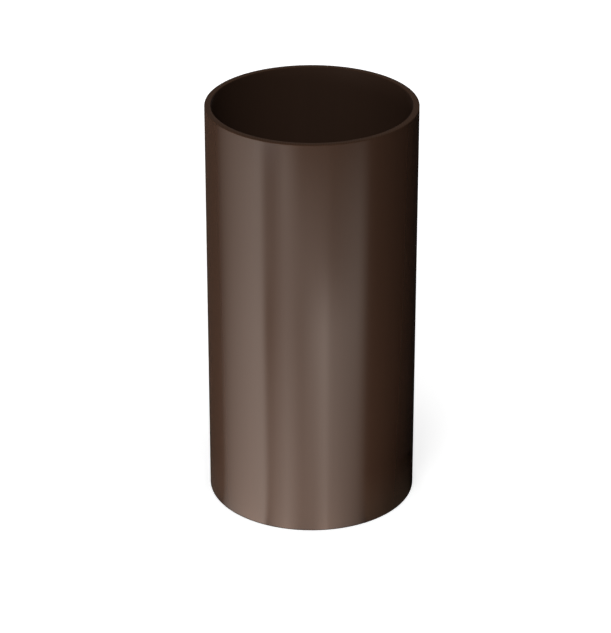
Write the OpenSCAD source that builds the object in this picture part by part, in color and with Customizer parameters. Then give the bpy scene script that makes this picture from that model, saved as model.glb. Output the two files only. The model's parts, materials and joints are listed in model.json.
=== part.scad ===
// Downpipe: a short straight length of round rainwater pipe, extruded in brown PVC-U.
// It is one piece. Both ends are sawn square and plain, with no socket, and the saw's four
// sharp edges are broken by a narrow chamfer, so that a coupler slides on without being scored.
// The origin is the centre of the lower sawn end, and +Z runs up the axis of the pipe.

/* [Pipe] */
// Outside diameter, which couplers, bends and wall clips are moulded to
outside_d = 110; // [50:1:200]
// Thickness of the extruded wall
wall = 3.2; // [1.5:0.1:8]
// Length from one sawn end to the other
pipe_length = 220; // [50:10:4000]

/* [Sawn ends] */
// Width of the chamfer on the outer edge of each end
outer_chamfer = 0.4; // [0.1:0.1:0.7]
// Width of the chamfer on the bore's edge of each end
bore_chamfer = 0.3; // [0.1:0.1:0.7]

/* [Hidden] */
$fn = 180;

outside_r = outside_d / 2;
bore_r = outside_r - wall;

// The wall cut along the pipe: x is the radius and y the height above the lower end.
module wall_section() {
    polygon([
        // lower sawn end, from the bore outwards
        [bore_r, bore_chamfer],
        [bore_r + bore_chamfer, 0],
        [outside_r - outer_chamfer, 0],
        [outside_r, outer_chamfer],
        // upper sawn end, from the outside inwards
        [outside_r, pipe_length - outer_chamfer],
        [outside_r - outer_chamfer, pipe_length],
        [bore_r + bore_chamfer, pipe_length],
        [bore_r, pipe_length - bore_chamfer]
    ]);
}

// The extruded pipe
module pipe() {
    color("#48352a")
        rotate_extrude()
            wall_section();
}

pipe();
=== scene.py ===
import json
import math

import bpy
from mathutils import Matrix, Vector


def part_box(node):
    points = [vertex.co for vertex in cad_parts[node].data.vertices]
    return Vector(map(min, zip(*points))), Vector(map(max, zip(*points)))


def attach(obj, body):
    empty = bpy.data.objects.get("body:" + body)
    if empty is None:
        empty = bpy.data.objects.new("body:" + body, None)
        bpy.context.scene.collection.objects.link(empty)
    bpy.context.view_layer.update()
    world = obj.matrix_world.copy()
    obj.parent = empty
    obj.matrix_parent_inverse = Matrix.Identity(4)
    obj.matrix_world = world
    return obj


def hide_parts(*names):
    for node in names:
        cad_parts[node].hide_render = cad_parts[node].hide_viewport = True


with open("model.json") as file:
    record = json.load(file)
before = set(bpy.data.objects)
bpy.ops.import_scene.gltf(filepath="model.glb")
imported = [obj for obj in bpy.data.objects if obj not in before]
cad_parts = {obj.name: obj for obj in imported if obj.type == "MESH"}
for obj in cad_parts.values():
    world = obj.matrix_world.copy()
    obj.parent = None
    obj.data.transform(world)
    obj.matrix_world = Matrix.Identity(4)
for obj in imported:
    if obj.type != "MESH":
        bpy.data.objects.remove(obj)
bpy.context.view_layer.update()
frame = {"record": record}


# The pipe: one length of round rainwater pipe, extruded in PVC-U that is brown all through.
# The die leaves faint flow lines along it. The outside is sized smooth, the bore a little less so.
# A saw cuts both ends square and leaves them matt, and a deburring tool rounds off their edges.

mounts = {mount["name"]: mount for mount in frame["record"]["mounts"]}
outside_r = mounts["top_end"]["dims"]["r_mm"] / 1000
bore_r = mounts["bore"]["dims"]["r_mm"] / 1000
wall = outside_r - bore_r
low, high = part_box("pipe")
pipe_length = high.z - low.z
outer_edge_round = 0.0004
bore_edge_round = 0.0003
edge_steps = 4
sides = 256
smooth_below = math.radians(40)
# Two places nearer than this are the same place.
touching = 0.000001


def select_parts(kind, wanted):
    """Leaves the pipe in edit mode, with the faces or edges selected whose corners pass the test."""
    bpy.ops.object.mode_set(mode="EDIT")
    bpy.ops.mesh.select_mode(type=kind)
    bpy.ops.mesh.select_all(action="DESELECT")
    bpy.ops.object.mode_set(mode="OBJECT")
    for part in pipe.data.polygons if kind == "FACE" else pipe.data.edges:
        part.select = wanted([pipe.data.vertices[corner].co for corner in part.vertices])
    bpy.ops.object.mode_set(mode="EDIT")


def on_one_end(corners):
    """Whether the corners all lie in the plane of the same sawn end."""
    heights = [corner.z for corner in corners]
    return max(heights) < low.z + touching or min(heights) > high.z - touching


def on_the_bore_side(corners):
    """Whether the corners all lie nearer to the bore than to the outside."""
    return all(math.hypot(corner.x, corner.y) < outside_r - wall / 2 for corner in corners)


def on_the_outside(corners):
    """Whether the corners all lie on the outside of the pipe."""
    return all(math.hypot(corner.x, corner.y) > outside_r - touching for corner in corners)


bpy.ops.object.select_all(action="DESELECT")
bpy.ops.mesh.primitive_cylinder_add(
    vertices=sides, radius=outside_r, depth=pipe_length, location=(0, 0, low.z + pipe_length / 2))
bpy.ops.object.transform_apply(location=True, rotation=True, scale=True)
pipe = bpy.context.object
pipe.name = "extruded_pipe"
# Each end is inset by the wall, and bridging the two discs left inside makes the bore.
select_parts("FACE", on_one_end)
bpy.ops.mesh.inset(thickness=wall)
select_parts("FACE", lambda corners: on_one_end(corners) and on_the_bore_side(corners))
bpy.ops.mesh.bridge_edge_loops()
select_parts("EDGE", lambda corners: on_one_end(corners) and on_the_bore_side(corners))
bpy.ops.mesh.bevel(offset=bore_edge_round, segments=edge_steps, affect="EDGES")
select_parts("EDGE", lambda corners: on_one_end(corners) and on_the_outside(corners))
bpy.ops.mesh.bevel(offset=outer_edge_round, segments=edge_steps, affect="EDGES")
bpy.ops.object.mode_set(mode="OBJECT")
bpy.ops.object.shade_smooth_by_angle(angle=smooth_below)


class Value:
    """One socket of a finish. Arithmetic on it adds the Math nodes that work it out."""

    def __init__(self, finish, socket):
        self.finish = finish
        self.socket = socket

    def math(self, operation, *terms):
        return self.finish.node("ShaderNodeMath", {"operation": operation}, dict(enumerate(terms)))

    def __add__(self, other):
        return self.math("ADD", self, other)

    def __sub__(self, other):
        return self.math("SUBTRACT", self, other)

    def __rsub__(self, other):
        return self.math("SUBTRACT", other, self)

    def __mul__(self, other):
        return self.math("MULTIPLY", self, other)

    __radd__ = __add__
    __rmul__ = __mul__


class Finish:
    """A procedural material, put together node by node. The studio's sky is made the same way."""

    def __init__(self, owner):
        self.owner = owner
        self.owner.use_nodes = True
        self.tree = self.owner.node_tree
        self.tree.nodes.clear()

    def node(self, kind, settings, values, output=0):
        """Adds a node: its settings go in first, then the value or the link of each socket."""
        made = self.tree.nodes.new(kind)
        for name, setting in settings.items():
            setattr(made, name, setting)
        for name, value in values.items():
            if isinstance(value, Value):
                self.tree.links.new(value.socket, made.inputs[name])
            else:
                made.inputs[name].default_value = value
        return Value(self, made.outputs[output] if made.outputs else None)

    def mix(self, share, first, second):
        """The first colour, with that share of it changed for the second."""
        colours = {"Factor": share, 6: (*first, 1), 7: (*second, 1)}
        return self.node("ShaderNodeMix", {"data_type": "RGBA"}, colours, output=2)

    def show(self, shader):
        """Makes the shader the surface of the material, or of the sky, and gives that back."""
        kind = "World" if self.owner.id_type == "WORLD" else "Material"
        self.node("ShaderNodeOutput" + kind, {}, {"Surface": shader})
        return self.owner


# The plastic's browns, from its darker streaks to its lighter ones, and how deep its marks are.
dark_brown = (0.058, 0.032, 0.021)
light_brown = (0.070, 0.038, 0.025)
flow_depth = 0.00001
sawn_dark_brown = (0.054, 0.029, 0.018)
sawn_light_brown = (0.064, 0.034, 0.021)
stroke_depth = 0.00002
blade_centre = (0.16, 0.05, 0)


def extruded_pvc(name, roughness, gloss):
    """Through-coloured PVC-U as it leaves the die, with flow streaks and finer lines along it."""
    finish = Finish(bpy.data.materials.new(name))
    place = finish.node("ShaderNodeTexCoord", {}, {}, output="Object")
    # The die draws every streak out along the pipe, to fifty times its width.
    drawn = finish.node("ShaderNodeMapping", {}, {"Vector": place, "Scale": (1, 1, 1 / 50)})
    flow = finish.node("ShaderNodeTexNoise", {}, {"Vector": drawn, "Scale": 70, "Detail": 3})
    lines = finish.node("ShaderNodeTexNoise", {}, {"Vector": drawn, "Scale": 700, "Detail": 2})
    grain = finish.node("ShaderNodeTexNoise", {}, {"Vector": place, "Scale": 1500, "Detail": 2})
    streaks = flow * 0.6 + lines * 0.4
    normal = finish.node("ShaderNodeBump", {}, {
        "Strength": 1, "Distance": flow_depth, "Height": streaks * 0.7 + grain * 0.3})
    return finish.show(finish.node("ShaderNodeBsdfPrincipled", {}, {
        "Base Color": finish.mix(streaks, dark_brown, light_brown),
        "Roughness": (streaks - 0.5) * 0.06 + roughness,
        "Specular IOR Level": gloss,
        "Normal": normal}))


def sawn_pvc(name):
    """The same plastic where the saw cut it, with the strokes of its blade."""
    finish = Finish(bpy.data.materials.new(name))
    place = finish.node("ShaderNodeTexCoord", {}, {}, output="Object")
    blade = finish.node("ShaderNodeMapping", {}, {"Vector": place, "Location": blade_centre})
    strokes = finish.node("ShaderNodeTexWave", {"wave_type": "RINGS", "rings_direction": "Z"},
                          {"Vector": blade, "Scale": 250, "Distortion": 3, "Detail": 2})
    normal = finish.node("ShaderNodeBump", {}, {
        "Strength": 1, "Distance": stroke_depth, "Height": strokes})
    return finish.show(finish.node("ShaderNodeBsdfPrincipled", {}, {
        "Base Color": finish.mix(strokes, sawn_dark_brown, sawn_light_brown),
        "Roughness": 0.8,
        "Specular IOR Level": 0.02,
        "Normal": normal}))


outside_finish, bore_finish, sawn_finish = range(3)
pipe.data.materials.clear()
pipe.data.materials.append(extruded_pvc("brown_pvc_outside", roughness=0.2, gloss=0.5))
pipe.data.materials.append(extruded_pvc("brown_pvc_bore", roughness=0.5, gloss=0.1))
pipe.data.materials.append(sawn_pvc("brown_pvc_sawn"))
for face in pipe.data.polygons:
    corners = [pipe.data.vertices[corner].co for corner in face.vertices]
    along = max(corner.z for corner in corners) - min(corner.z for corner in corners)
    if along < pipe_length / 2:
        face.material_index = sawn_finish
    elif on_the_bore_side(corners):
        face.material_index = bore_finish
    else:
        face.material_index = outside_finish
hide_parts("pipe")
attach(pipe, "root")


# The table: a plain white top that the pipe stands on, under a white sky.
# It passes into the white background further out, and keeps the pipe's soft shadow near it.
# The disc of it that the pipe closes in has no glow, so the bore is dark down to its foot.

table_r = 8
ring_sides = 96
paint_white = (0.85, 0.85, 0.85, 1)
pure_white = (1, 1, 1, 1)
# The table's own glow, which grows from this share of white near the pipe to all of it further out.
shadow_glow = 0.65
shadow_start = 0.2
shadow_end = 1.2


def flat_ring(name, height, inner_r, outer_r, inside):
    """A level ring at that height, round a disc where inside is NGON or a hole where NOTHING."""
    bpy.ops.object.select_all(action="DESELECT")
    bpy.ops.mesh.primitive_circle_add(
        vertices=ring_sides, radius=inner_r, fill_type=inside, location=(0, 0, height))
    bpy.ops.object.transform_apply(location=True, rotation=True, scale=True)
    ring = bpy.context.object
    ring.name = name
    bpy.ops.object.mode_set(mode="EDIT")
    bpy.ops.mesh.select_mode(type="EDGE")
    bpy.ops.mesh.select_all(action="SELECT")
    bpy.ops.mesh.extrude_edges_indiv()
    bpy.ops.transform.resize(
        value=(outer_r / inner_r, outer_r / inner_r, 1), center_override=(0, 0, height))
    bpy.ops.object.mode_set(mode="OBJECT")
    return ring


table = flat_ring("table_top", low.z, outside_r - wall / 2, table_r, "NGON")


def seen_directly(finish):
    """1 for what the camera sees, itself or mirrored or through glass, and 0 for what lights."""
    path = [finish.node("ShaderNodeLightPath", {}, {}, output=ray)
            for ray in ("Is Camera Ray", "Is Glossy Ray", "Is Transmission Ray")]
    return path[0].math("MAXIMUM", path[0], path[1].math("MAXIMUM", path[1], path[2]))


def white_paint(finish):
    """The table's paint."""
    return finish.node("ShaderNodeBsdfDiffuse", {}, {"Color": paint_white})


open_top = Finish(bpy.data.materials.new("white_table"))
place = open_top.node("ShaderNodeTexCoord", {}, {}, output="Object")
away = open_top.node("ShaderNodeVectorMath", {"operation": "LENGTH"}, {0: place}, output=1)
whiteness = open_top.node("ShaderNodeMapRange", {}, {
    "Value": away, "From Min": shadow_start, "From Max": shadow_end, "To Min": shadow_glow})
backdrop = open_top.node("ShaderNodeEmission", {}, {
    "Color": pure_white, "Strength": seen_directly(open_top) * whiteness})
open_top.show(open_top.node("ShaderNodeAddShader", {}, {0: white_paint(open_top), 1: backdrop}))
open_top.owner.cycles.emission_sampling = "NONE"
closed_in = Finish(bpy.data.materials.new("white_table_in_the_bore"))
closed_in.show(white_paint(closed_in))
open_finish, closed_in_finish = range(2)
table.data.materials.append(open_top.owner)
table.data.materials.append(closed_in.owner)
for face in table.data.polygons:
    under_the_pipe = all(table.data.vertices[corner].co.length < outside_r for corner in face.vertices)
    face.material_index = closed_in_finish if under_the_pipe else open_finish

sky = Finish(bpy.data.worlds.new("white_sky"))
sky.show(sky.node("ShaderNodeBackground", {}, {
    "Color": pure_white, "Strength": seen_directly(sky)}))
sky.owner.cycles.sampling_method = "NONE"
bpy.context.scene.world = sky.owner


# The tent and the panels: black cloth hangs all round the pipe and lies on the table up to it, so
# that the white studio stays out of its gloss. Flat panels of light lie on the cloth, and the pipe
# mirrors them. The camera sees neither.

tent_r = 2.5
dome_sides = 48
cloth_black = (0.01, 0.01, 0.01, 1)
# The cloth lies just over the table, the panels just over the cloth, and they just miss the pipe.
cloth_rise = 0.0002
panel_rise = 0.0004
foot_gap = 0.0001
warm_white = (1, 0.87, 0.78)


def facing(turn):
    """The level direction that many degrees round from the camera's side, towards +X."""
    return Vector((math.sin(math.radians(turn)), -math.cos(math.radians(turn)), 0))


tent_floor = flat_ring(
    "tent_floor", low.z + cloth_rise, outside_r - outer_edge_round, tent_r, "NOTHING")

bpy.ops.object.select_all(action="DESELECT")
bpy.ops.mesh.primitive_uv_sphere_add(
    segments=dome_sides, ring_count=dome_sides // 2, radius=tent_r)
tent_dome = bpy.context.object
tent_dome.name = "tent_dome"
bpy.ops.object.mode_set(mode="EDIT")
bpy.ops.mesh.select_all(action="SELECT")
bpy.ops.mesh.bisect(plane_co=(0, 0, low.z + cloth_rise), plane_no=(0, 0, 1), clear_inner=True)
bpy.ops.object.mode_set(mode="OBJECT")

cloth = Finish(bpy.data.materials.new("black_cloth"))
cloth.show(cloth.node("ShaderNodeBsdfDiffuse", {}, {"Color": cloth_black}))
tent_floor.data.materials.append(cloth.owner)
tent_dome.data.materials.append(cloth.owner)


def glow_between(lines, turn, row):
    """The glow on one row of a panel, which changes evenly from each of its lines to the next."""
    for (start, first), (stop, second) in zip(lines, lines[1:]):
        if turn <= stop:
            return first[row] + (second[row] - first[row]) * (turn - start) / (stop - start)


def light_panel(name, colour, rows, lines, side=0, fan=2):
    """A panel with rows at those distances from the pipe. Each line is a turn and its glow there.

    The lines start at the pipe, each at its own turn round it, and run out from there. Where the wall
    has turned by so much, it mirrors a sight from the front along twice that, so with a fan of 2 a
    line that glows shows as one upright streak. With a fan of 0 all the lines run the same way.
    """
    glowing = Finish(bpy.data.materials.new(name))
    glow = glowing.node("ShaderNodeAttribute", {"attribute_name": "glow"}, {}, output="Fac")
    underneath = glowing.node("ShaderNodeNewGeometry", {}, {}, output="Backfacing")
    glowing.show(glowing.node("ShaderNodeEmission", {}, {
        "Color": (*colour, 1), "Strength": glow * (1 - underneath)}))
    first_turn = lines[0][0]
    degrees = lines[-1][0] - first_turn
    bpy.ops.object.select_all(action="DESELECT")
    bpy.ops.mesh.primitive_grid_add(
        x_subdivisions=len(rows) - 1, y_subdivisions=degrees, size=1)
    panel = bpy.context.object
    panel.name = name
    glows = []
    for corner in panel.data.vertices:
        row = round((corner.co.x + 0.5) * (len(rows) - 1))
        turn = first_turn + round((corner.co.y + 0.5) * degrees)
        corner.co = facing(side + turn) * (outside_r + foot_gap)
        corner.co += facing(side + fan * turn) * rows[row]
        corner.co.z = low.z + panel_rise
        glows.append(glow_between(lines, turn, row))
    panel.data.attributes.new("glow", "FLOAT", "POINT").data.foreach_set("value", glows)
    panel.data.materials.append(glowing.owner)
    return panel


unseen = [
    tent_floor,
    tent_dome,
    light_panel("left_panel", colour=(1, 0.7, 0.55), rows=(0, 0.04, 0.25, 1.2), lines=[
        (-84, (0.1, 0.06, 0.06, 0.06)),
        (-60, (0.2, 0.06, 0.06, 0.06)),
    ]),
    light_panel("front_panel", colour=warm_white, rows=(0, 0.25, 0.4, 1.2), lines=[
        (-60, (0.3, 0, 0, 0)),
        (-28, (3, 2.9, 2.5, 2.2)),
        (-25, (1.2, 0.1, 0.7, 0)),
        (-20, (2, 1, 0.9, 0)),
        (-14, (2.8, 2, 1.8, 2.2)),
        (-6, (1.6, 1.2, 1.4, 0.1)),
        (1, (1.7, 2.3, 1.3, 0)),
        (8, (2.7, 3.6, 1.1, 0)),
        (10, (2, 2, 0.7, 0)),
        (26, (0.8, 1.4, 1.2, 0.1)),
        (32, (0.2, 0, 0, 0)),
    ]),
    light_panel("right_panel", colour=(1, 0.7, 0.5), rows=(0, 0.04), lines=[
        (32, (0.4, 0)),
        (50, (0.15, 0)),
        (80, (0, 0)),
    ]),
    light_panel("back_panel", colour=warm_white, rows=(0, 1.2), lines=[
        (-60, (0, 0)),
        (0, (2, 2)),
        (60, (0, 0)),
    ], side=180, fan=0),
]
for item in unseen:
    item.visible_camera = False
    item.visible_shadow = False
    item.visible_transmission = False


# The lamps: round softboxes, all aimed at the middle of the pipe. One stands level with it at the
# left, one hangs high in front and one overhead, and two stand low behind it.

aim = Vector((0, 0, low.z + pipe_length / 2))
softbox_away = 2
softbox_width = 0.7


def softbox(name, turn, rise, power):
    """A round softbox that many degrees round and up, of that many watts."""
    lamp_data = bpy.data.lights.new(name, "AREA")
    lamp_data.shape = "DISK"
    lamp_data.size = softbox_width
    lamp_data.energy = power
    lamp = bpy.data.objects.new(name, lamp_data)
    bpy.context.scene.collection.objects.link(lamp)
    level = facing(turn) * math.cos(math.radians(rise))
    upright = Vector((0, 0, math.sin(math.radians(rise))))
    lamp.location = aim + (level + upright) * softbox_away
    lamp.rotation_euler = (aim - lamp.location).to_track_quat("-Z", "Y").to_euler()
    lamp.visible_camera = False


softbox("low_softbox", turn=-45, rise=0, power=13)
softbox("high_softbox", turn=-15, rise=45, power=7)
softbox("top_softbox", turn=0, rise=80, power=14)
softbox("back_left_softbox", turn=-160, rise=10, power=9)
softbox("back_right_softbox", turn=160, rise=10, power=9)


# The camera: it has a long lens, and looks down on the pipe from its -Y side.

camera_away = 1.4715
camera_rise = math.radians(26.28)
look_at = Vector((-0.00326, 0, low.z + 0.09885))
lens_mm = 158

camera_data = bpy.data.cameras.new("camera")
camera_data.lens = lens_mm
camera = bpy.data.objects.new("camera", camera_data)
bpy.context.scene.collection.objects.link(camera)
camera.location = (0, -camera_away * math.cos(camera_rise),
                   look_at.z + camera_away * math.sin(camera_rise))
camera.rotation_euler = (look_at - camera.location).to_track_quat("-Z", "Y").to_euler()
bpy.context.scene.camera = camera
bpy.context.scene.view_settings.view_transform = "Standard"
